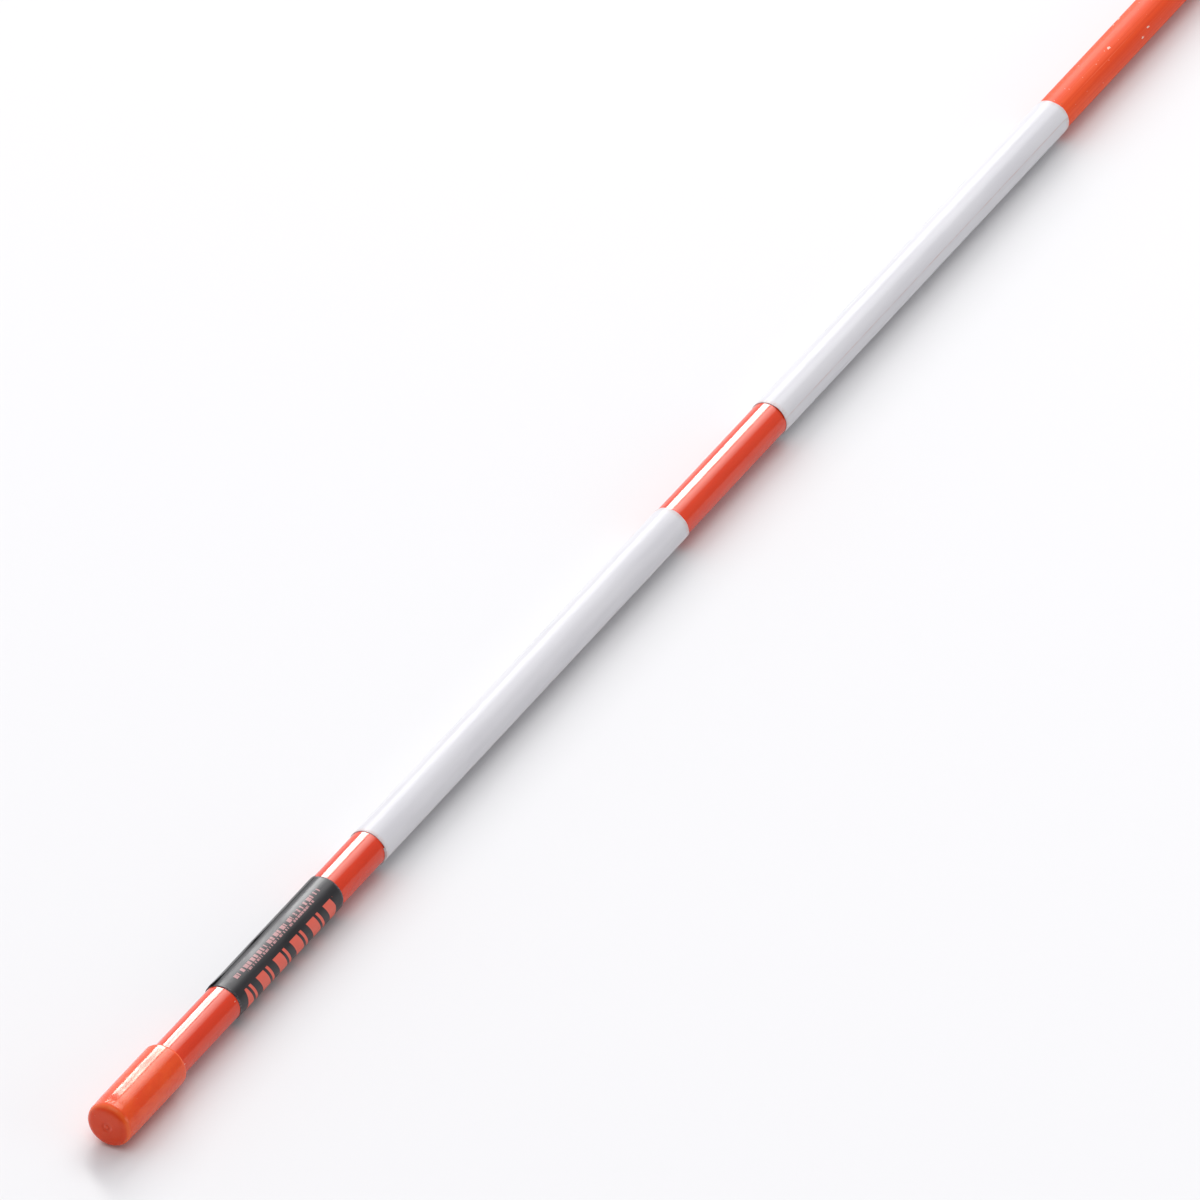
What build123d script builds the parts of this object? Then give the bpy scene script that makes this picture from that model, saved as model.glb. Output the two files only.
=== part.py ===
"""Driveway snow marker: a fibreglass rod with reflective bands, a wrapped label and a pull-off end cap.

The marker lies along X, as it does on a shelf or on the ground before use: the capped top end is at -X,
the ground point at +X. The origin is on the surface it lies on, under the middle of its length. +Z is up.
All lengths are in millimetres and all angles in degrees.
"""

from build123d import *

import os
from math import degrees

# Rod: solid pultruded fibreglass of 5/16 inch nominal diameter, cut to four feet and sharpened at one end.
ROD_LENGTH = 1219.0
ROD_RADIUS = 4.0
ROD_END_CHAMFER = 0.4
POINT_LENGTH = 14.0
POINT_NOSE_RADIUS = 1.1

# End cap: soft vinyl, pushed over the top end of the rod, with a moulding gate mark on its closed end.
CAP_LENGTH = 23.0
CAP_RADIUS = 5.0
CAP_END_WALL = 2.2
CAP_END_ROUNDING = 1.5
CAP_MOUTH_ROUNDING = 0.4
CAP_LEAD_IN = 0.2
SOCKET_CLEARANCE = 0.05
SOCKET_ROUNDING = 0.4
ROD_END_GAP = 0.4
GATE_DIMPLE_RADIUS = 1.1
GATE_DIMPLE_DEPTH = 0.3
GATE_NUB_RADIUS = 0.45
GATE_NUB_HEIGHT = 0.2

# Layers on the upper part of the rod. The film grips a seat that is dressed down slightly from the bare rod,
# and a short taper leads out of the seat to the bare shank.
FILM_SEAT_DEPTH = 0.05
FILM_SEAT_TAPER = 0.8
FILM_THICKNESS = 0.1
TAPE_THICKNESS = 0.15
LABEL_THICKNESS = 0.1

# Lengths along the rod, in order from the cap's mouth.
CAP_TO_LABEL = 22.0
LABEL_LENGTH = 41.0
LABEL_TO_TAPE = 16.5
TAPE_LENGTH = 125.0
BETWEEN_TAPES = 42.0

# A wrapped layer closes in a lap: one edge climbs over the other and ends in a step at the lap's angle,
# which is counted about the rod's axis from +Y towards +Z.
LAP_WIDTH = 2.4
LAP_RAMP_WIDTH = 0.5
UPPER_TAPE_LAP_ANGLE = 192.0
LOWER_TAPE_LAP_ANGLE = 158.0
LABEL_LAP_ANGLE = 57.0

# Places along X that follow from the lengths above.
OVERALL_LENGTH = CAP_END_WALL + ROD_END_GAP + ROD_LENGTH
CAP_START = -OVERALL_LENGTH / 2
CAP_MOUTH = CAP_START + CAP_LENGTH
ROD_START = CAP_START + CAP_END_WALL + ROD_END_GAP
ROD_END = ROD_START + ROD_LENGTH
LABEL_START = CAP_MOUTH + CAP_TO_LABEL
UPPER_TAPE_START = LABEL_START + LABEL_LENGTH + LABEL_TO_TAPE
LOWER_TAPE_START = UPPER_TAPE_START + TAPE_LENGTH + BETWEEN_TAPES
FILM_END = LOWER_TAPE_START + TAPE_LENGTH

FILM_SEAT_RADIUS = ROD_RADIUS - FILM_SEAT_DEPTH
FILM_RADIUS = FILM_SEAT_RADIUS + FILM_THICKNESS
SOCKET_RADIUS = FILM_RADIUS + SOCKET_CLEARANCE
AXIS_HEIGHT = CAP_RADIUS
ROD_AXIS = Axis((0, 0, AXIS_HEIGHT), (1, 0, 0))


def across_rod(x):
    """The plane square to the rod at x and centred on its axis, with its own x along +Y and y along +Z."""
    return Plane(origin=(x, 0, AXIS_HEIGHT), x_dir=(0, 1, 0), z_dir=(1, 0, 0))


def on_section(radius, angle):
    """A point of a section across the rod, by its distance from the axis and its angle."""
    return Vector(radius, 0).rotate(Axis.Z, angle)


def angle_of_arc(arc_length, radius):
    """The angle that an arc of this length takes up at this radius."""
    return degrees(arc_length / radius)


def make_fiberglass_rod():
    """A solid rod: chamfered blunt end, seat for the film, bare shank and a cone with a rounded nose."""
    nose_start = (ROD_END - POINT_NOSE_RADIUS, POINT_NOSE_RADIUS)
    through_axis = Plane(origin=(0, 0, AXIS_HEIGHT), x_dir=(1, 0, 0), z_dir=(0, -1, 0))
    with BuildPart() as rod:
        with BuildSketch(through_axis):
            with BuildLine():
                Polyline(
                    nose_start,
                    (ROD_END - POINT_LENGTH, ROD_RADIUS),
                    (FILM_END + FILM_SEAT_TAPER, ROD_RADIUS),
                    (FILM_END, FILM_SEAT_RADIUS),
                    (ROD_START + ROD_END_CHAMFER, FILM_SEAT_RADIUS),
                    (ROD_START, FILM_SEAT_RADIUS - ROD_END_CHAMFER),
                    (ROD_START, 0),
                    (ROD_END, 0),
                )
                RadiusArc((ROD_END, 0), nose_start, -POINT_NOSE_RADIUS)
            make_face()
        revolve(axis=ROD_AXIS)
    return rod


def make_orange_film():
    """A seamless film, shrunk on from the rod's blunt end and cut flush with the lower reflective band."""
    with BuildPart() as film:
        with BuildSketch(across_rod(ROD_START + ROD_END_CHAMFER)):
            Circle(FILM_RADIUS)
            Circle(FILM_SEAT_RADIUS, mode=Mode.SUBTRACT)
        extrude(amount=FILM_END - ROD_START - ROD_END_CHAMFER)
    return film


def make_wrapped_sheet(start, length, thickness, lap_angle):
    """A sheet wrapped once round the film, with one edge climbing over the other and stepping down again."""
    single = FILM_RADIUS + thickness
    double = single + thickness
    lap_start = lap_angle - angle_of_arc(LAP_WIDTH, double)
    ramp_foot = lap_start - angle_of_arc(LAP_RAMP_WIDTH, double)
    lap_middle = (lap_start + lap_angle) / 2
    far_side = (lap_angle + ramp_foot) / 2 + 180
    with BuildPart() as sheet:
        with BuildSketch(across_rod(start)):
            with BuildLine():
                ThreePointArc(
                    on_section(single, lap_angle),
                    on_section(single, far_side),
                    on_section(single, ramp_foot),
                )
                Line(on_section(single, ramp_foot), on_section(double, lap_start))
                ThreePointArc(
                    on_section(double, lap_start),
                    on_section(double, lap_middle),
                    on_section(double, lap_angle),
                )
                Line(on_section(double, lap_angle), on_section(single, lap_angle))
            make_face()
            Circle(FILM_RADIUS, mode=Mode.SUBTRACT)
        extrude(amount=length)
    return sheet


def make_end_cap():
    """A cup with a rounded closed end, a soft mouth, a socket for the rod and a gate mark on its end."""
    with BuildPart() as cap:
        with BuildSketch(across_rod(CAP_START)):
            Circle(CAP_RADIUS)
        extrude(amount=CAP_LENGTH)
        ends = cap.faces().filter_by(Axis.X).sort_by(Axis.X)
        fillet(ends[0].edges(), radius=CAP_END_ROUNDING)
        mouth = cap.faces().filter_by(Axis.X).sort_by(Axis.X)[-1]
        fillet(mouth.edges(), radius=CAP_MOUTH_ROUNDING)

        with BuildSketch(across_rod(CAP_START + CAP_END_WALL)):
            Circle(SOCKET_RADIUS)
        extrude(amount=CAP_LENGTH - CAP_END_WALL, mode=Mode.SUBTRACT)
        socket_floor = cap.faces().filter_by(Axis.X).sort_by(Axis.X)[1]
        fillet(socket_floor.edges(), radius=SOCKET_ROUNDING)
        mouth = cap.faces().filter_by(Axis.X).sort_by(Axis.X)[-1]
        chamfer(mouth.inner_wires()[0].edges(), length=CAP_LEAD_IN)

        with BuildSketch(across_rod(CAP_START)):
            Circle(GATE_DIMPLE_RADIUS)
            Circle(GATE_NUB_RADIUS, mode=Mode.SUBTRACT)
        extrude(amount=GATE_DIMPLE_DEPTH, mode=Mode.SUBTRACT)
        with BuildSketch(across_rod(CAP_START)):
            Circle(GATE_NUB_RADIUS)
        extrude(amount=GATE_DIMPLE_DEPTH - GATE_NUB_HEIGHT, mode=Mode.SUBTRACT)
    return cap


def save(piece, name):
    """Labels a finished piece and writes it to a file of its own."""
    piece.part.label = name
    export_step(piece.part, f"parts/{name}.step")


os.makedirs("parts", exist_ok=True)
save(make_fiberglass_rod(), "fiberglass_rod")
save(make_orange_film(), "orange_film")
save(
    make_wrapped_sheet(UPPER_TAPE_START, TAPE_LENGTH, TAPE_THICKNESS, UPPER_TAPE_LAP_ANGLE),
    "upper_reflective_tape",
)
save(
    make_wrapped_sheet(LOWER_TAPE_START, TAPE_LENGTH, TAPE_THICKNESS, LOWER_TAPE_LAP_ANGLE),
    "lower_reflective_tape",
)
save(make_wrapped_sheet(LABEL_START, LABEL_LENGTH, LABEL_THICKNESS, LABEL_LAP_ANGLE), "wrap_label")
save(make_end_cap(), "end_cap")
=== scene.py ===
"""Looks of the driveway snow marker: fine skins round the CAD frame, materials, camera and lights."""

from math import cos, exp, pi, radians, sin, tau

import bpy
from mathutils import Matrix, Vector, noise


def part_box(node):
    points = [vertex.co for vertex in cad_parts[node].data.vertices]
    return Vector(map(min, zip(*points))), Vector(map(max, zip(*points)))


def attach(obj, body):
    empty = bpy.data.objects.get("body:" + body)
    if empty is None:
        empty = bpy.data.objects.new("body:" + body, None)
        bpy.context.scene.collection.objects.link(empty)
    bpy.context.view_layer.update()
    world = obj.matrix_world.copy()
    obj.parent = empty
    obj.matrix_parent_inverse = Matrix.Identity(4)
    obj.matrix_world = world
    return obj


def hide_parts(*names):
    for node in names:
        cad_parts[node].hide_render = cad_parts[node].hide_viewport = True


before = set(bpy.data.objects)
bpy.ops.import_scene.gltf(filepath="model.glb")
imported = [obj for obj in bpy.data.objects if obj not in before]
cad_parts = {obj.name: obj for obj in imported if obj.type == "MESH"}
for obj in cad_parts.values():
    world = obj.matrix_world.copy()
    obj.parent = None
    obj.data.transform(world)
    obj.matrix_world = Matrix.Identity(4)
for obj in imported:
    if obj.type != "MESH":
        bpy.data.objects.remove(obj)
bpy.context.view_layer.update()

MM = 0.001

# ---------------------------------------------------------------- sizes from the frame

ROD_LOW, ROD_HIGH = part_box("fiberglass_rod")
FILM_LOW, FILM_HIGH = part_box("orange_film")
LABEL_LOW, LABEL_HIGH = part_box("wrap_label")
CAP_LOW, CAP_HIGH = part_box("end_cap")

AXIS_Z = (CAP_LOW.z + CAP_HIGH.z) / 2
ROD_RADIUS = (ROD_HIGH.y - ROD_LOW.y) / 2
FILM_RADIUS = (FILM_HIGH.y - FILM_LOW.y) / 2
FILM_THICKNESS = 0.1 * MM
FILM_SEAT_RADIUS = FILM_RADIUS - FILM_THICKNESS
CAP_RADIUS = (CAP_HIGH.y - CAP_LOW.y) / 2
SOCKET_RADIUS = FILM_RADIUS + 0.05 * MM
GROUND_POINT_LENGTH = 14 * MM
TAPE_THICKNESS = 0.15 * MM
LABEL_THICKNESS = 0.1 * MM
LABEL_RADIUS = FILM_RADIUS + LABEL_THICKNESS
LAP_WIDTH = 2.4 * MM
# The visible tapes and label end this far inside their CAD solids, which leaves room for their drift.
SHEET_MARGIN = 0.15 * MM

# Angles about the rod's axis are counted from +Y towards +Z. Each sheet's free edge is at its lap's angle.
UPPER_TAPE_LAP = radians(192)
LOWER_TAPE_LAP = radians(158)
LABEL_LAP = radians(57)


# ---------------------------------------------------------------- mesh helpers

def on_axis(x, radius, angle):
    """The point at this place along the rod, distance from its axis and angle about it."""
    return Vector((x, radius * cos(angle), AXIS_Z + radius * sin(angle)))


def ripple(x, angle, along, around, seed):
    """Smooth noise from -1 to 1 on the rod, in cells as long as along, with around of them across the rod."""
    spot = Vector((x / along, around * cos(angle) / 2, around * sin(angle) / 2))
    return noise.noise(spot + Vector((seed, 0, 0)))


def smooth(low, high, value):
    """0 at low, 1 at high, a smooth step between them, and level past them."""
    share = min(max((value - low) / (high - low), 0), 1)
    return share * share * (3 - 2 * share)


def arc(centre_x, centre_r, radius, start, end, steps):
    """Points of an arc in a profile, from start to end in degrees, counted from +X towards +radius."""
    turns = [radians(start + (end - start) * i / steps) for i in range(steps + 1)]
    return [(centre_x + radius * cos(t), centre_r + radius * sin(t)) for t in turns]


def divided(profile, step):
    """The profile with its long runs cut into runs of about this step."""
    points = [profile[0]]
    for (x0, r0), (x1, r1) in zip(profile, profile[1:]):
        cuts = max(1, round(max(abs(x1 - x0), abs(r1 - r0)) / step))
        points += [(x0 + (x1 - x0) * i / cuts, r0 + (r1 - r0) * i / cuts) for i in range(1, cuts + 1)]
    return points


def finish_mesh(name, vertices, faces, sharp_angle=38):
    """A smooth-shaded object that keeps the edges sharper than sharp_angle."""
    mesh = bpy.data.meshes.new(name)
    mesh.from_pydata(vertices, [], faces)
    mesh.validate()
    mesh.shade_smooth()
    mesh.set_sharp_from_angle(angle=radians(sharp_angle))
    piece = bpy.data.objects.new(name, mesh)
    bpy.context.scene.collection.objects.link(piece)
    return piece


def revolve(name, profile, offset, closed=False):
    """A profile of (x, radius) turned about the rod's axis. Radius 0 makes a pole, and closed joins its ends.

    offset(x, radius, angle) is added to the radius of each point.
    """
    segments = 96
    vertices, rings = [], []
    for x, radius in profile:
        if radius == 0:
            rings.append([len(vertices)] * segments)
            vertices.append(on_axis(x, 0, 0))
            continue
        rings.append(list(range(len(vertices), len(vertices) + segments)))
        for i in range(segments):
            angle = tau * i / segments
            vertices.append(on_axis(x, radius + offset(x, radius, angle), angle))
    pairs = list(zip(rings, rings[1:]))
    if closed:
        pairs.append((rings[-1], rings[0]))
    faces = []
    for near, far in pairs:
        for i in range(segments):
            j = (i + 1) % segments
            corners = [near[i], near[j], far[j], far[i]]
            faces.append([corner for k, corner in enumerate(corners) if corner not in corners[:k]])
    return finish_mesh(name, vertices, faces)


def wrapped_sheet(name, low, high, thickness, lap, drift, lift, seed):
    """A sheet wrapped once round the film, from its hidden edge under the lap to its free edge.

    drift is how far the sheet wanders along the rod in one turn, so the two layers of the lap don't quite
    line up at its ends. lift(x, back_from_edge) raises the free edge where it has come unstuck.
    """
    cut_bevel = 0.04 * MM
    glue_line = 0.02 * MM
    climb_width = 1.8 * MM
    first = lap - LAP_WIDTH / FILM_RADIUS
    last = lap + tau
    full_turn = first + tau
    climb = full_turn - climb_width / FILM_RADIUS

    angles = [first, first + cut_bevel / FILM_RADIUS]
    while angles[-1] < climb - radians(3):
        angles.append(angles[-1] + radians(3))
    while angles[-1] < last - radians(1.6):
        angles.append(angles[-1] + radians(1.5))
    angles[-1] = last - cut_bevel / FILM_RADIUS
    angles.append(last)

    spacing, end_spacing = 1.0 * MM, 0.4 * MM
    places = [low, low + cut_bevel, low + end_spacing]
    while places[-1] < high - end_spacing - spacing:
        places.append(places[-1] + spacing)
    places += [high - end_spacing, high - cut_bevel, high]

    outer, inner = [], []
    for row, x in enumerate(places):
        wander = 0.05 * MM * ripple(x, 0, 9 * MM, 0.2, seed)
        for column, angle in enumerate(angles):
            turned = (angle - first) / tau
            edge_angle = angle + turned ** 8 * wander / FILM_RADIUS
            slow_swell = 0.006 * MM * (1 + ripple(x, angle, 7 * MM, 3, seed))
            quick_swell = 0.004 * MM * (1 + ripple(x, angle, 2.5 * MM, 8, seed))
            step_up = (thickness + glue_line) * smooth(climb, full_turn, angle)
            raised = lift(x, (last - angle) * FILM_RADIUS)
            radius = FILM_RADIUS + (slow_swell + quick_swell) + step_up + raised
            on_border = row in (0, len(places) - 1) or column in (0, len(angles) - 1)
            depth = thickness * (0.6 if on_border else 1)
            along = x + drift * (turned - 0.5)
            inner.append(on_axis(along, radius, edge_angle))
            outer.append(on_axis(along, radius + depth, edge_angle))
    return finish_mesh(name, outer + inner, slab_faces(len(angles), len(places)), sharp_angle=50)


def slab_faces(width, height):
    """Faces of a slab: a grid of width by height outer points, as many inner ones after them, and the rim."""
    count = width * height
    faces = []
    for row in range(height - 1):
        for column in range(width - 1):
            a = row * width + column
            b, c, d = a + 1, a + width + 1, a + width
            faces.append((a, b, c, d))
            faces.append((a + count, d + count, c + count, b + count))
    border = list(range(width))
    border += [row * width + width - 1 for row in range(1, height)]
    border += [(height - 1) * width + column for column in range(width - 2, -1, -1)]
    border += [row * width for row in range(height - 2, 0, -1)]
    for a, b in zip(border, border[1:] + border[:1]):
        faces.append((b, a, a + count, b + count))
    return faces


# ---------------------------------------------------------------- material helpers

class Finish:
    """A Principled material whose node tree is written as expressions on the object's own coordinates."""

    def __init__(self, name):
        self.data = bpy.data.materials.new(name)
        self.data.use_nodes = True
        self.tree = self.data.node_tree
        self.shader = self.tree.nodes["Principled BSDF"]
        self.place = self.add("ShaderNodeTexCoord").outputs["Object"]
        split = self.add("ShaderNodeSeparateXYZ", {"Vector": self.place})
        self.x, self.y, self.z = split.outputs
        above = self.minus(self.z, AXIS_Z)
        self.angle = self.math("ARCTAN2", above, self.y)

    def add(self, kind, inputs=None, **settings):
        """A new node with these settings, and its inputs set to values or linked to outputs."""
        node = self.tree.nodes.new(kind)
        for key, value in settings.items():
            setattr(node, key, value)
        for socket, value in (inputs or {}).items():
            self.put(node.inputs[socket], value)
        return node

    def put(self, socket, value):
        if isinstance(value, bpy.types.NodeSocket):
            self.tree.links.new(value, socket)
        else:
            socket.default_value = value

    def set(self, **values):
        """Sets or links the shader's sockets, with _ for a space in their names."""
        for socket, value in values.items():
            self.put(self.shader.inputs[socket.replace("_", " ")], value)

    def math(self, operation, a, b=0.0):
        return self.add("ShaderNodeMath", {0: a, 1: b}, operation=operation).outputs[0]

    def times(self, a, b):
        return self.math("MULTIPLY", a, b)

    def plus(self, a, b):
        return self.math("ADD", a, b)

    def minus(self, a, b):
        return self.math("SUBTRACT", a, b)

    def larger(self, a, b):
        return self.math("MAXIMUM", a, b)

    def distance(self, a, b):
        return self.math("ABSOLUTE", self.minus(a, b))

    def arc_from(self, degrees, radius):
        """Arc length about the rod's axis from this angle, growing the way angles do, from 0 to one turn."""
        turned = self.math("FLOORED_MODULO", self.minus(self.angle, radians(degrees)), tau)
        return self.times(turned, radius)

    def ramp(self, value, low, high, start=0.0, end=1.0):
        """start where value is below low, end where it is above high, and a smooth step between."""
        inputs = {"Value": value, "From Min": low, "From Max": high, "To Min": start, "To Max": end}
        return self.add("ShaderNodeMapRange", inputs, interpolation_type="SMOOTHSTEP").outputs["Result"]

    def between(self, value, low, high, soft):
        """1 where value lies between low and high, with edges as wide as soft."""
        rise = self.ramp(value, low - soft / 2, low + soft / 2)
        fall = self.ramp(value, high - soft / 2, high + soft / 2, 1.0, 0.0)
        return self.times(rise, fall)

    def mix(self, share, a, b):
        """Colour a where share is 0, and b where it is 1."""
        node = self.add("ShaderNodeMix", {0: share, 6: a, 7: b}, data_type="RGBA")
        return node.outputs[2]

    def stretched(self, along, across, seed):
        """Coordinates counted in units of along, in the rod's direction, and of across, shifted by seed."""
        scale = (1 / along, 1 / across, 1 / across)
        inputs = {"Vector": self.place, "Scale": scale, "Location": (seed, seed, seed)}
        return self.add("ShaderNodeMapping", inputs).outputs[0]

    def grain(self, along, across, detail=3.0, rough=0.55, seed=0.0):
        """Noise from 0 to 1 whose features are along long in the rod's direction and across wide."""
        spot = self.stretched(along, across, seed)
        inputs = {"Vector": spot, "Scale": 1.0, "Detail": detail, "Roughness": rough}
        return self.add("ShaderNodeTexNoise", inputs).outputs["Fac"]

    def specks(self, along, across, share, seed=0.0):
        """1 in a few scattered ragged specks: share of the cells of a Voronoi pattern hold one."""
        spot = self.stretched(along, across, seed)
        ragged = self.add("ShaderNodeTexNoise", {"Vector": spot, "Scale": 3.0, "Detail": 4.0})
        shift = {0: ragged.outputs["Color"], "Scale": 0.7}
        spread = self.add("ShaderNodeVectorMath", shift, operation="SCALE")
        bent = self.add("ShaderNodeVectorMath", {0: spot, 1: spread.outputs[0]}, operation="ADD")
        cells = self.add("ShaderNodeTexVoronoi", {"Vector": bent.outputs[0], "Scale": 1.0})
        pick = self.add("ShaderNodeSeparateColor", {"Color": cells.outputs["Color"]})
        chosen = self.math("GREATER_THAN", pick.outputs[0], 1 - share)
        size = self.ramp(pick.outputs[1], 0.0, 1.0, 0.08, 0.40)
        near = self.math("LESS_THAN", cells.outputs["Distance"], size)
        return self.times(chosen, near)

    def bump(self, height, depth, strength=1.0, under=None):
        """The surface's normal with this height on it, over an earlier bump if under is given."""
        inputs = {"Height": height, "Distance": depth, "Strength": strength}
        if under is not None:
            inputs["Normal"] = under
        return self.add("ShaderNodeBump", inputs).outputs["Normal"]


# ---------------------------------------------------------------- materials

def orange_fiberglass():
    """Bare pultruded rod: satin orange resin over lengthwise glass fibres, with pale chips and brown scuffs.

    The sawn end and the ground point are paler and rougher, with the grinder's marks across the fibres.
    """
    finish = Finish("orange_fiberglass")
    fibres = finish.grain(55 * MM, 0.22 * MM, detail=6, rough=0.7)
    strands = finish.grain(160 * MM, 0.9 * MM, detail=3, rough=0.6, seed=4)
    cloud = finish.grain(60 * MM, 5 * MM, detail=3, seed=11)
    chips = finish.specks(1.5 * MM, 0.8 * MM, 0.03, seed=2)
    dust = finish.specks(0.45 * MM, 0.35 * MM, 0.02, seed=5)
    scuffs = finish.grain(1.8 * MM, 0.7 * MM, detail=5, rough=0.75, seed=9)
    scuff_zones = finish.ramp(finish.grain(40 * MM, 9 * MM, seed=6), 0.50, 0.62)
    scuffed = finish.times(finish.ramp(scuffs, 0.60, 0.70), scuff_zones)

    ragged = finish.times(finish.grain(3 * MM, 0.5 * MM, detail=3, seed=8), 1.6 * MM)
    from_point = finish.plus(finish.x, ragged)
    point_start = ROD_HIGH.x - GROUND_POINT_LENGTH
    ground = finish.ramp(from_point, point_start + 0.4 * MM, point_start + 0.8 * MM)
    sawn = finish.ramp(finish.x, ROD_LOW.x + 0.1 * MM, ROD_LOW.x + 0.5 * MM, 1.0, 0.0)
    cut = finish.larger(sawn, ground)
    grinding = finish.grain(0.16 * MM, 2.5 * MM, detail=4, rough=0.6, seed=12)
    cut_fibres = finish.grain(0.9 * MM, 0.16 * MM, detail=3, rough=0.7, seed=13)

    color = finish.mix(finish.ramp(cloud, 0.3, 0.7), (0.83, 0.070, 0.012, 1), (0.89, 0.100, 0.020, 1))
    color = finish.mix(finish.ramp(strands, 0.40, 0.68, 0.0, 0.45), color, (0.74, 0.045, 0.008, 1))
    color = finish.mix(finish.ramp(fibres, 0.52, 0.72, 0.0, 0.5), color, (0.95, 0.23, 0.09, 1))
    bare = finish.mix(finish.ramp(cut_fibres, 0.35, 0.65), (0.78, 0.21, 0.085, 1), (0.90, 0.40, 0.22, 1))
    bare = finish.mix(finish.ramp(grinding, 0.55, 0.70, 0.0, 0.5), bare, (0.60, 0.15, 0.07, 1))
    color = finish.mix(finish.times(cut, 0.9), color, bare)
    color = finish.mix(finish.times(scuffed, 0.55), color, (0.30, 0.09, 0.045, 1))
    color = finish.mix(finish.times(dust, 0.5), color, (0.92, 0.62, 0.48, 1))
    color = finish.mix(finish.times(chips, 0.85), color, (0.90, 0.74, 0.62, 1))
    rough = finish.ramp(fibres, 0.25, 0.8, 0.36, 0.56)
    rough = finish.plus(rough, finish.times(cut, 0.22))
    cut_relief = finish.times(finish.plus(grinding, cut_fibres), cut)
    surface = finish.bump(fibres, 0.03 * MM, 0.7)
    surface = finish.bump(cut_relief, 0.05 * MM, 0.8, under=surface)
    surface = finish.bump(chips, -0.03 * MM, 0.8, under=surface)
    finish.set(Base_Color=color, Roughness=rough, Normal=surface, Specular_IOR_Level=0.18)
    return finish.data


def orange_gloss_film():
    """Shrunk film: smooth, glossy and redder than the rod, with a faint ripple and a few scratches."""
    finish = Finish("orange_gloss_film")
    cloud = finish.grain(24 * MM, 5 * MM, detail=2)
    haze = finish.grain(3 * MM, 1.2 * MM, detail=4, seed=3)
    scratches = finish.grain(14 * MM, 0.12 * MM, detail=2, seed=7)
    marks = finish.specks(0.9 * MM, 0.5 * MM, 0.006, seed=5)
    color = finish.mix(finish.ramp(cloud, 0.3, 0.7), (0.71, 0.036, 0.006, 1), (0.76, 0.050, 0.010, 1))
    color = finish.mix(finish.times(marks, 0.6), color, (0.85, 0.42, 0.32, 1))
    rough = finish.ramp(haze, 0.35, 0.75, 0.05, 0.11)
    rough = finish.plus(rough, finish.ramp(scratches, 0.68, 0.74, 0.0, 0.12))
    surface = finish.bump(haze, 0.004 * MM, 0.6)
    surface = finish.bump(scratches, 0.003 * MM, 0.5, under=surface)
    finish.set(Base_Color=color, Roughness=rough, Normal=surface)
    finish.set(IOR=1.47, Specular_Tint=(1.0, 0.97, 0.90, 1))
    return finish.data


def white_reflective_tape(name, ends, lap):
    """Reflective sheeting: cool white on fine glass beads, soiled a little at its cut ends, darker along its
    lap.
    """
    finish = Finish(name)
    bead_size = 0.14 * MM
    cells = finish.add("ShaderNodeTexVoronoi", {"Vector": finish.place, "Scale": 1 / bead_size})
    beads = cells.outputs["Distance"]
    cloud = finish.grain(30 * MM, 4 * MM, detail=3)
    grime = finish.grain(4 * MM, 0.9 * MM, detail=4, rough=0.7, seed=8)
    rubs = finish.grain(18 * MM, 0.25 * MM, detail=3, rough=0.6, seed=3)
    edge = 0.0
    for cut_end in ends:
        away = finish.distance(finish.x, cut_end)
        edge = finish.larger(edge, finish.ramp(away, 0.15 * MM, 1.6 * MM, 1.0, 0.0))
    turned = finish.math("FLOORED_MODULO", finish.angle, tau)
    from_lap = finish.times(finish.distance(turned, lap), FILM_RADIUS)
    # A thin darker line is mixed in along the lap's free edge, with the soil at the cut ends.
    lap_line = finish.ramp(from_lap, 0.08 * MM, 0.26 * MM, 0.8, 0.0)
    edge = finish.larger(edge, lap_line)
    dark_ends_and_lap = finish.times(edge, finish.ramp(grime, 0.35, 0.65, 0.15, 0.6))
    color = finish.mix(finish.ramp(cloud, 0.3, 0.7), (0.680, 0.675, 0.700, 1), (0.720, 0.715, 0.735, 1))
    color = finish.mix(finish.ramp(grime, 0.66, 0.78, 0.0, 0.16), color, (0.50, 0.44, 0.42, 1))
    color = finish.mix(dark_ends_and_lap, color, (0.60, 0.40, 0.36, 1))
    rough = finish.ramp(cloud, 0.3, 0.7, 0.24, 0.32)
    rough = finish.plus(rough, finish.ramp(rubs, 0.62, 0.72, 0.0, 0.14))
    surface = finish.bump(beads, 0.006 * MM, 0.35)
    surface = finish.bump(rubs, 0.004 * MM, 0.4, under=surface)
    finish.set(Base_Color=color, Roughness=rough, Normal=surface)
    finish.set(Specular_IOR_Level=0.03, Coat_Weight=0.08, Coat_Roughness=0.12)
    return finish.data


def label_bars(finish, along, length):
    """Slanted bars, a wide one and a narrow one in turn, on the side of the label that the camera sees."""
    low_angle, height, margin = 141, 7.4 * MM, 3.2 * MM
    pitch, slant, soft = 6.6 * MM, 0.42, 0.12 * MM
    up = finish.arc_from(low_angle, LABEL_RADIUS)
    slanted = finish.minus(along, finish.times(up, slant))
    phase = finish.times(finish.math("FRACT", finish.math("DIVIDE", slanted, pitch)), pitch)
    wide = finish.between(phase, 1.0 * MM, 3.9 * MM, soft)
    narrow = finish.between(phase, 4.7 * MM, 5.5 * MM, soft)
    bars = finish.times(finish.larger(wide, narrow), finish.between(up, 0, height, soft))
    return finish.times(bars, finish.between(along, margin, length - margin, soft))


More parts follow.
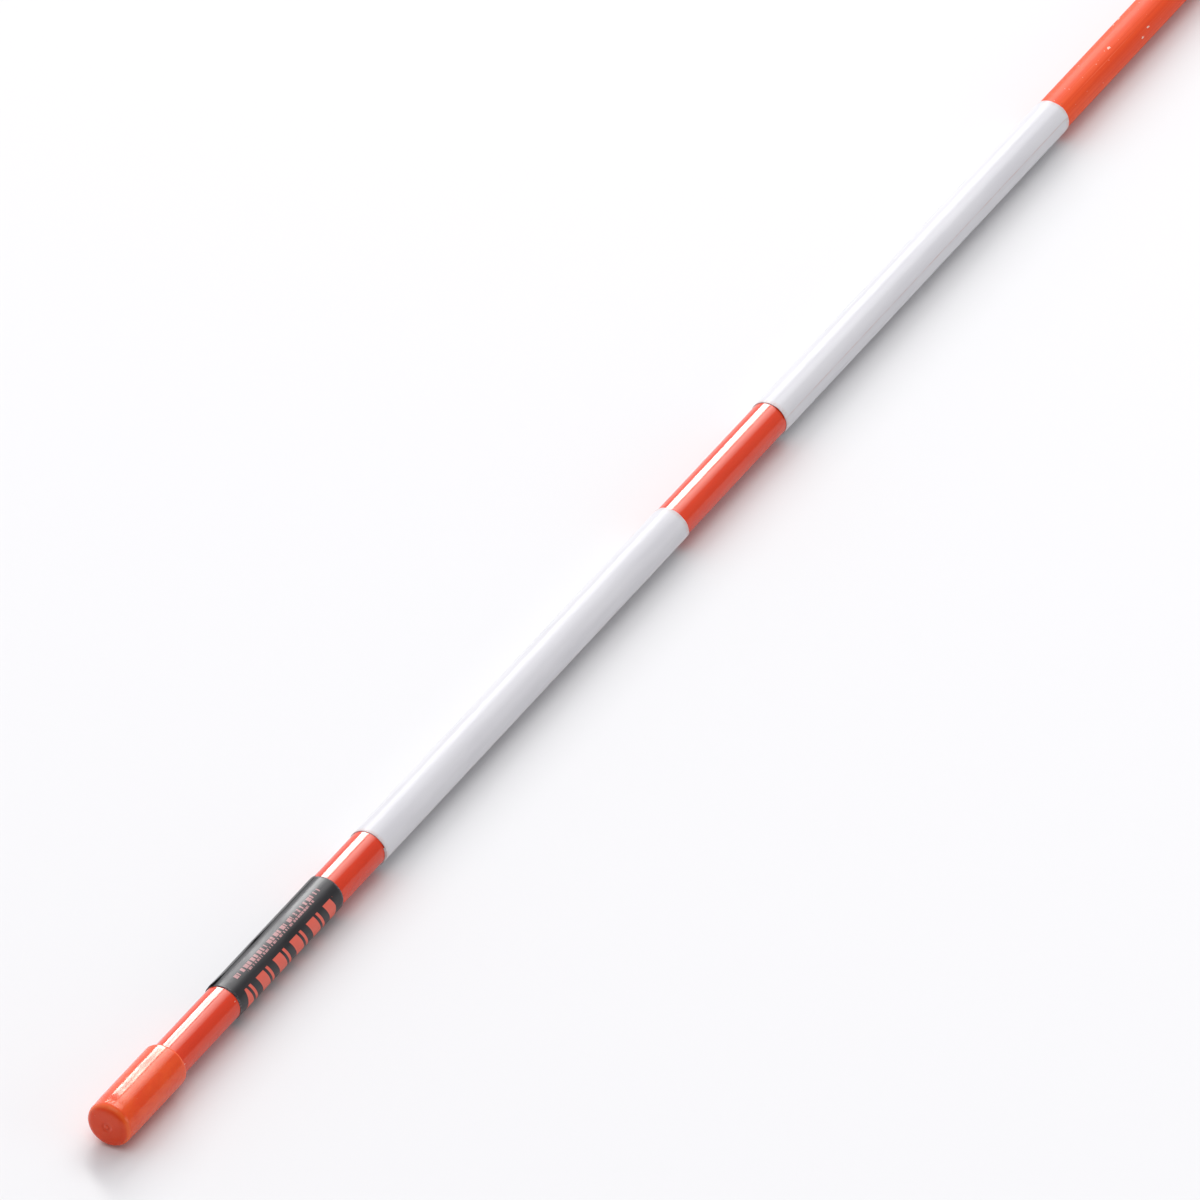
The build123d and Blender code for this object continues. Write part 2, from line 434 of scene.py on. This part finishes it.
def label_dashes(finish, along, length):
    """Rows of short dashes of uneven length, which stand for small print."""
    # Each row's angle in degrees, then its margin, its dashes' spacing and its height in millimetres.
    rows = [(93, 4.0, 1.3, 1.0), (109, 7.5, 0.8, 0.5), (300, 4.0, 0.9, 0.6), (316, 6.0, 0.9, 0.6)]
    soft = 0.1 * MM
    dashes = 0.0
    for row, (low_angle, margin, spacing, height) in enumerate(rows):
        up = finish.arc_from(low_angle, LABEL_RADIUS)
        cells_along = finish.math("DIVIDE", along, spacing * MM)
        cell = finish.plus(finish.math("FLOOR", cells_along), 40.0 * row)
        chance = finish.add("ShaderNodeTexWhiteNoise", {"W": cell}, noise_dimensions="1D").outputs["Value"]
        filled_share = finish.ramp(chance, 0.1, 0.9, 0.25, 0.85)
        dash = finish.math("LESS_THAN", finish.math("FRACT", cells_along), filled_share)
        line = finish.times(dash, finish.between(up, 0, height * MM, soft))
        line = finish.times(line, finish.between(along, margin * MM, length - margin * MM, soft))
        dashes = finish.larger(dashes, line)
    return dashes


def black_label_vinyl():
    """Printed label: satin black with coral bars and rows of pale dashes, which stand for no lettering."""
    finish = Finish("black_label_vinyl")
    along = finish.minus(finish.x, LABEL_LOW.x)
    length = LABEL_HIGH.x - LABEL_LOW.x
    ink_wear = finish.grain(0.8 * MM, 0.5 * MM, detail=4, rough=0.7, seed=5)
    bars = finish.times(label_bars(finish, along, length), finish.ramp(ink_wear, 0.22, 0.30))
    dashes = finish.times(label_dashes(finish, along, length), finish.ramp(ink_wear, 0.30, 0.42))

    cloud = finish.grain(6 * MM, 2 * MM, detail=3)
    dust = finish.grain(0.5 * MM, 0.3 * MM, detail=4, rough=0.75, seed=2)
    edge_low = finish.ramp(along, 0.1 * MM, 0.9 * MM, 1.0, 0.0)
    edge_high = finish.ramp(along, length - 0.9 * MM, length - 0.1 * MM)
    rubbed = finish.times(finish.larger(edge_low, edge_high), finish.ramp(dust, 0.45, 0.6))
    color = finish.mix(finish.ramp(cloud, 0.3, 0.7), (0.008, 0.0075, 0.009, 1), (0.016, 0.0145, 0.017, 1))
    color = finish.mix(finish.ramp(dust, 0.66, 0.76, 0.0, 0.35), color, (0.20, 0.19, 0.20, 1))
    color = finish.mix(finish.times(rubbed, 0.5), color, (0.30, 0.28, 0.29, 1))
    color = finish.mix(bars, color, (0.78, 0.120, 0.075, 1))
    color = finish.mix(finish.times(dashes, 0.8), color, (0.62, 0.30, 0.30, 1))
    ink = finish.larger(bars, dashes)
    rough = finish.plus(finish.ramp(cloud, 0.3, 0.7, 0.30, 0.40), finish.times(ink, 0.08))
    surface = finish.bump(dust, 0.004 * MM, 0.5)
    surface = finish.bump(ink, 0.012 * MM, 0.6, under=surface)
    finish.set(Base_Color=color, Roughness=rough, Normal=surface, Specular_IOR_Level=0.42)
    return finish.data


def orange_cap_vinyl():
    """Soft dipped vinyl: semi-gloss, brighter and yellower than the film, with a fine orange-peel surface.

    Painted highlight makes its rounded edges paler, and painted shade makes its closed end deeper in colour.
    """
    finish = Finish("orange_cap_vinyl")
    cloud = finish.grain(5 * MM, 3 * MM, detail=3)
    peel = finish.grain(0.7 * MM, 0.7 * MM, detail=3, seed=3)
    specks = finish.specks(0.5 * MM, 0.4 * MM, 0.006, seed=7)
    color = finish.mix(finish.ramp(cloud, 0.3, 0.7), (0.79, 0.058, 0.005, 1), (0.85, 0.082, 0.008, 1))
    color = finish.mix(finish.times(specks, 0.3), color, (0.80, 0.40, 0.25, 1))
    from_end = finish.minus(finish.x, CAP_LOW.x)
    # Painted shade: the closed end face is mixed towards a darker red.
    painted_end_shade = finish.ramp(from_end, 0.15 * MM, 0.6 * MM, 1.0, 0.0)
    color = finish.mix(finish.times(painted_end_shade, 0.6), color, (0.76, 0.038, 0.003, 1))
    # Painted highlight: the rounded shoulder and the lip are mixed towards a paler orange.
    shoulder = finish.between(from_end, 0.5 * MM, 1.2 * MM, 0.4 * MM)
    lip = finish.ramp(finish.x, CAP_HIGH.x - 0.8 * MM, CAP_HIGH.x - 0.3 * MM)
    painted_edge_highlight = finish.larger(shoulder, lip)
    color = finish.mix(finish.times(painted_edge_highlight, 0.5), color, (0.95, 0.155, 0.025, 1))
    rough = finish.ramp(peel, 0.3, 0.75, 0.12, 0.19)
    surface = finish.bump(peel, 0.004 * MM, 0.5)
    finish.set(Base_Color=color, Roughness=rough, Normal=surface, Specular_Tint=(1.0, 0.93, 0.80, 1))
    finish.set(Subsurface_Weight=0.18, Subsurface_Scale=0.8 * MM, Subsurface_Radius=(1.0, 0.35, 0.15))
    return finish.data


# ---------------------------------------------------------------- pieces

def dress(piece, node, body, material):
    """Gives a piece its material and puts it in its CAD node's place."""
    piece.data.materials.append(material)
    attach(piece, body)
    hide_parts(node)


def make_rod():
    """The pultruded rod, with faint lengthwise die lines, and its ground point."""
    nose = 1.1 * MM
    chamfer = 0.4 * MM
    seat_taper = 0.8 * MM
    shoulder = ROD_HIGH.x - GROUND_POINT_LENGTH
    profile = [(ROD_LOW.x, 0)]
    profile += [(ROD_LOW.x, FILM_SEAT_RADIUS * share) for share in (0.3, 0.6, 0.85)]
    profile += [(ROD_LOW.x, FILM_SEAT_RADIUS - chamfer), (ROD_LOW.x + chamfer, FILM_SEAT_RADIUS)]
    profile += [(FILM_HIGH.x, FILM_SEAT_RADIUS), (FILM_HIGH.x + seat_taper, ROD_RADIUS)]
    profile += [(shoulder - 0.6 * MM, ROD_RADIUS), (shoulder + 0.6 * MM, ROD_RADIUS - 0.09 * MM)]
    profile += [(ROD_HIGH.x - nose * 0.75, nose)]
    profile += arc(ROD_HIGH.x - nose, 0, nose, 65, 15, 4)
    profile = divided(profile, 6 * MM) + [(ROD_HIGH.x, 0)]

    def offset(x, radius, angle):
        die_lines = 0.006 * MM * ripple(x, angle, 400 * MM, 26, 3)
        sway = 0.006 * MM * ripple(x, angle, 35 * MM, 2, 8)
        on_point = smooth(shoulder, shoulder + 2 * MM, x) * radius / ROD_RADIUS
        seven_facets = -0.16 * MM * on_point * abs(cos(3.5 * angle))
        return die_lines + sway + seven_facets

    return revolve("rod_surface", profile, offset)


def make_film():
    """The shrunk film: a thin tube with faint ripples, and crinkles in two places beside the tapes."""
    bevel = 0.03 * MM
    low, high = FILM_LOW.x, FILM_HIGH.x
    outside = [(low, FILM_RADIUS - bevel), (low + bevel, FILM_RADIUS), (high - bevel, FILM_RADIUS)]
    outside = divided(outside, 1.5 * MM) + [(high, FILM_RADIUS - bevel)]
    inside = divided([(high, FILM_SEAT_RADIUS), (low, FILM_SEAT_RADIUS)], 40 * MM)
    # Each crinkle's place along the rod and its angle in degrees.
    crinkles = [(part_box("upper_reflective_tape")[1].x + 2.5 * MM, 40)]
    crinkles += [(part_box("lower_reflective_tape")[0].x - 3 * MM, 200)]

    def offset(x, radius, angle):
        if radius < FILM_RADIUS - FILM_THICKNESS / 2:
            return 0
        swell = 0.003 * MM * (1 + ripple(x, angle, 12 * MM, 4, 5))
        for place, heading in crinkles:
            near = exp(-((x - place) / (2.2 * MM)) ** 2) * smooth(0.2, 1.0, cos(angle - radians(heading)))
            swell += 0.02 * MM * near * (1 + ripple(x, angle, 1.4 * MM, 14, 2))
        return swell

    return revolve("film_surface", outside + inside, offset, closed=True)


def make_tape(name, node, lap, drift, seed):
    """A white tape wrapped round the film, in the place of this CAD node."""
    low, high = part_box(node)

    def lift(x, back):
        """The free edge stands up a hair at one end, where the tape was cut."""
        near_end = smooth(high.x - 5 * MM, high.x, x)
        return 0.10 * MM * near_end * smooth(1.6 * MM, 0, back)

    first, last = low.x + SHEET_MARGIN, high.x - SHEET_MARGIN
    return wrapped_sheet(name, first, last, TAPE_THICKNESS, lap, drift, lift, seed)


def make_label():
    """The label wrapped round the film."""
    def lift(x, back):
        """Two stretches of the free edge have come unstuck."""
        corner = smooth(LABEL_LOW.x + 6 * MM, LABEL_LOW.x, x)
        middle = exp(-((x - LABEL_LOW.x - 17 * MM) / (3 * MM)) ** 2)
        return 0.30 * MM * max(corner, 0.55 * middle) * smooth(1.8 * MM, 0, back)

    first, last = LABEL_LOW.x + SHEET_MARGIN, LABEL_HIGH.x - SHEET_MARGIN
    return wrapped_sheet("label_surface", first, last, LABEL_THICKNESS, LABEL_LAP, 0.3 * MM, lift, seed=6)


def make_cap():
    """The vinyl cap: rounded closed end with a gate mark, shallow waist past the rod's end and soft lip."""
    start, end = CAP_LOW.x, CAP_HIGH.x
    end_wall = 2.2 * MM
    end_rounding, lip_rounding, floor_rounding = 1.6 * MM, 0.75 * MM, 0.4 * MM
    floor = start + end_wall
    # A nub with a ring-shaped dip round it: (depth, radius) in millimetres.
    nub = [(0.07, 0), (0.07, 0.30), (0.11, 0.42)]
    ring_dip = [(0.20, 0.55), (0.20, 0.90), (0.10, 1.05), (0.02, 1.20)]
    # The waist: (distance from the closed end, depth) in millimetres.
    waist = [(2.4, 0.10), (3.2, 0.06), (4.2, 0.01), (5.2, 0)]

    profile = [(start + depth * MM, radius * MM) for depth, radius in nub + ring_dip]
    profile += [(start, 1.5 * MM), (start, 2.4 * MM)]
    profile += arc(start + end_rounding, CAP_RADIUS - 1.68 * MM, end_rounding, 180, 90, 9)
    profile += [(start + place * MM, CAP_RADIUS - depth * MM) for place, depth in waist]
    profile += [(end - 1.6 * MM, CAP_RADIUS)]
    profile += arc(end - lip_rounding, CAP_RADIUS - lip_rounding, lip_rounding, 90, 0, 8)
    profile += [(end - 0.05 * MM, SOCKET_RADIUS + 0.08 * MM), (end - 0.18 * MM, SOCKET_RADIUS)]
    profile += [(floor + floor_rounding, SOCKET_RADIUS)]
    profile += arc(floor + floor_rounding, SOCKET_RADIUS - floor_rounding, floor_rounding, 90, 180, 4)[1:]
    profile = divided(profile, 0.8 * MM) + [(floor, 0)]

    def offset(x, radius, angle):
        in_socket = radius < SOCKET_RADIUS + 0.1 * MM and x > floor - 0.1 * MM
        if in_socket:
            return 0
        share = radius / CAP_RADIUS
        soft = 0.020 * MM * ripple(x, angle, 6 * MM, 3, 4)
        lip = 0.015 * MM * ripple(x, angle, 2 * MM, 7, 9) * smooth(end - 2 * MM, end, x)
        return share * (soft + lip - 0.025 * MM)

    return revolve("cap_surface", profile, offset)


def make_pieces():
    """The six pieces, each in the place of its CAD node."""
    upper_low, upper_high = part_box("upper_reflective_tape")
    lower_low, lower_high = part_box("lower_reflective_tape")
    upper_white = white_reflective_tape("upper_white_tape", (upper_low.x, upper_high.x), UPPER_TAPE_LAP)
    lower_white = white_reflective_tape("lower_white_tape", (lower_low.x, lower_high.x), LOWER_TAPE_LAP)
    dress(make_rod(), "fiberglass_rod", "marker", orange_fiberglass())
    dress(make_film(), "orange_film", "marker", orange_gloss_film())
    upper = make_tape("upper_tape_surface", "upper_reflective_tape", UPPER_TAPE_LAP, 0.25 * MM, seed=1)
    dress(upper, "upper_reflective_tape", "marker", upper_white)
    lower = make_tape("lower_tape_surface", "lower_reflective_tape", LOWER_TAPE_LAP, -0.3 * MM, seed=5)
    dress(lower, "lower_reflective_tape", "marker", lower_white)
    dress(make_label(), "wrap_label", "marker", black_label_vinyl())
    dress(make_cap(), "end_cap", "cap", orange_cap_vinyl())


# ---------------------------------------------------------------- stage, light and camera

# The camera looks at this place on the rod's axis, and the light panels' places are counted from it.
AIM = Vector((CAP_LOW.x + 198 * MM, 0, AXIS_Z))
CAMERA_AZIMUTH = radians(-60.8)
CAMERA_ELEVATION = radians(36.7)
CAMERA_DISTANCE = 3.4


def make_camera():
    """A long lens from the capped end's side, looking down along the rod at about 45 degrees to its axis."""
    flat = cos(CAMERA_ELEVATION)
    back = Vector((sin(CAMERA_AZIMUTH) * flat, -cos(CAMERA_AZIMUTH) * flat, sin(CAMERA_ELEVATION)))
    data = bpy.data.cameras.new("camera")
    data.lens = 500
    data.clip_end = 100
    camera = bpy.data.objects.new("camera", data)
    camera.location = AIM + back * CAMERA_DISTANCE
    camera.rotation_euler = (-back).to_track_quat("-Z", "Y").to_euler()
    bpy.context.scene.collection.objects.link(camera)
    bpy.context.scene.camera = camera


def make_panel(name, roll, distance, along, width, height, radiance):
    """A soft panel parallel to the rod and facing its axis, at roll degrees about it, counted from +Y up."""
    toward = Vector((0, cos(radians(roll)), sin(radians(roll))))
    data = bpy.data.lights.new(name, "AREA")
    data.shape = "RECTANGLE"
    data.size = width
    data.size_y = height
    data.energy = radiance * pi * width * height
    panel = bpy.data.objects.new(name, data)
    panel.location = Vector((AIM.x + along, 0, AXIS_Z)) + toward * distance
    panel.rotation_euler = toward.to_track_quat("Z", "Y").to_euler()
    panel.visible_camera = False
    bpy.context.scene.collection.objects.link(panel)


def make_floor():
    """A pale matt floor at z = 0, much larger than the picture."""
    finish = Finish("pale_floor")
    mottle = finish.grain(900 * MM, 900 * MM, detail=2)
    finish.set(Base_Color=finish.mix(mottle, (0.78, 0.78, 0.78, 1), (0.80, 0.80, 0.80, 1)), Roughness=0.7)
    reach = 15  # metres
    corners = [(-reach, -reach, 0), (reach, -reach, 0), (reach, reach, 0), (-reach, reach, 0)]
    mesh = bpy.data.meshes.new("floor")
    mesh.from_pydata(corners, [], [(0, 1, 2, 3)])
    mesh.materials.append(finish.data)
    floor = bpy.data.objects.new("floor", mesh)
    bpy.context.scene.collection.objects.link(floor)


def make_light():
    """A bright softbox behind the marker, one overhead that fades towards the camera, and two weak panels."""
    make_panel("back_softbox", 48, distance=4.0, along=4.1, width=1.3, height=3.0, radiance=18.0)
    make_panel("overhead", 90, distance=4.0, along=-1.5, width=3.0, height=3.0, radiance=0.75)
    strips = 8
    for step in range(strips):
        roll = 77 + 5.5 * step
        faded = 5.7 * (1 - step / strips) ** 0.8
        name = f"top_softbox_{step}"
        make_panel(name, roll, distance=4.0, along=4.1, width=2.6, height=0.39, radiance=faded)
    make_panel("front_fill", 166, distance=5.0, along=1.25, width=3.7, height=2.7, radiance=1.2)


def make_surround():
    """A pale, slightly cool surround, dimmer on the camera's side and past the capped end."""
    world = bpy.data.worlds.new("surround")
    world.use_nodes = True
    nodes, links = world.node_tree.nodes, world.node_tree.links
    background = nodes["Background"]
    background.inputs["Color"].default_value = (0.97, 0.96, 1.0, 1)
    direction = nodes.new("ShaderNodeSeparateXYZ")
    links.new(nodes.new("ShaderNodeTexCoord").outputs["Generated"], direction.inputs[0])
    product = nodes.new("ShaderNodeMath")
    product.operation = "MULTIPLY"
    for slot, (side, dim, bright) in enumerate([("Y", 0.39, 1.14), ("X", 0.40, 1.0)]):
        falloff = nodes.new("ShaderNodeMapRange")
        links.new(direction.outputs[side], falloff.inputs["Value"])
        for socket, value in {"From Min": -0.8, "From Max": 0.3, "To Min": dim, "To Max": bright}.items():
            falloff.inputs[socket].default_value = value
        links.new(falloff.outputs[0], product.inputs[slot])
    links.new(product.outputs[0], background.inputs["Strength"])
    bpy.context.scene.world = world


make_pieces()
make_floor()
make_light()
make_surround()
make_camera()
bpy.context.scene.view_settings.view_transform = "Standard"
